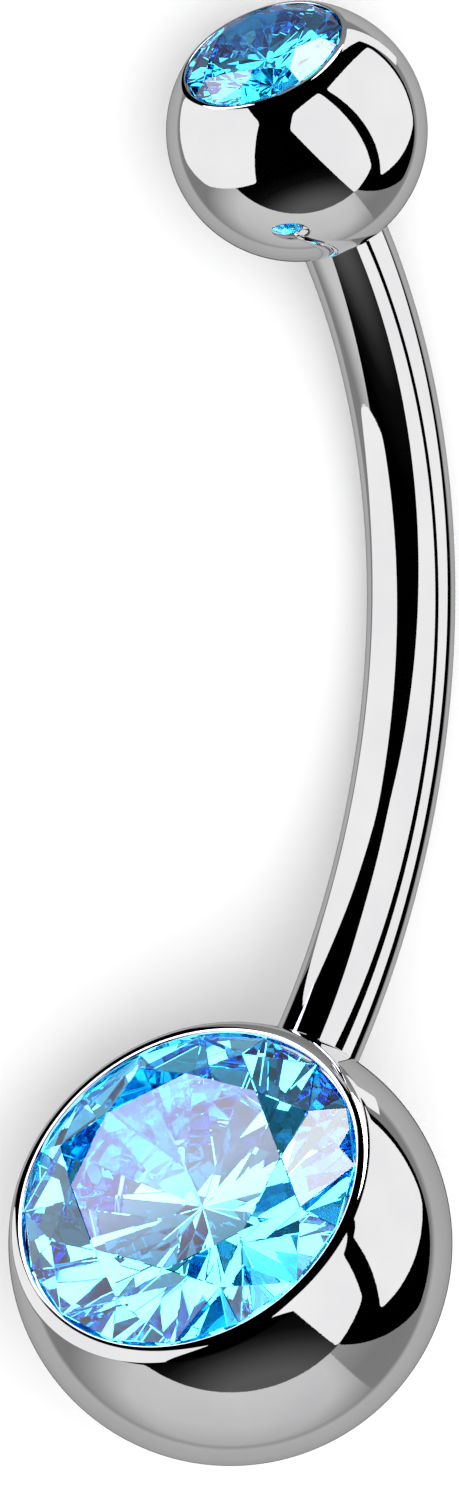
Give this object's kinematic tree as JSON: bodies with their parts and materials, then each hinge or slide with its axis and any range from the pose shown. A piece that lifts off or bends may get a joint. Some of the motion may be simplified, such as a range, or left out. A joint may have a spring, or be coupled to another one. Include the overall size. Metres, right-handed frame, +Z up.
{
  "type": "navel ring",
  "caption": "Curved barbell navel ring: a bent round bar with a polished ball at each end, a large one and a smaller one that comes off, each set with a round cut stone.",
  "frame": {"origin": "on the surface the ring lies on, under the middle of its bounding box", "axes": "+Z up, +Y from the large ball to the small ball, +X to the side the bar bends towards"},
  "size_m": [0.008, 0.0264, 0.008],
  "materials": {
    "steel": "mirror-polished stainless steel",
    "stone": "cut and polished blue cubic zirconia"
  },
  "bodies": {
    "ring": {"bar": "steel", "large_ball": "steel", "large_stone": "stone"},
    "screw_ball": {"small_ball": "steel", "small_stone": "stone"}
  },
  "joints": [
    {"name": "small_ball_off", "type": "slide", "parent": "ring", "child": "screw_ball", "axis": [-0.482, 0.8326, 0.2728], "range_m": [0, 0.0025]}
  ]
}
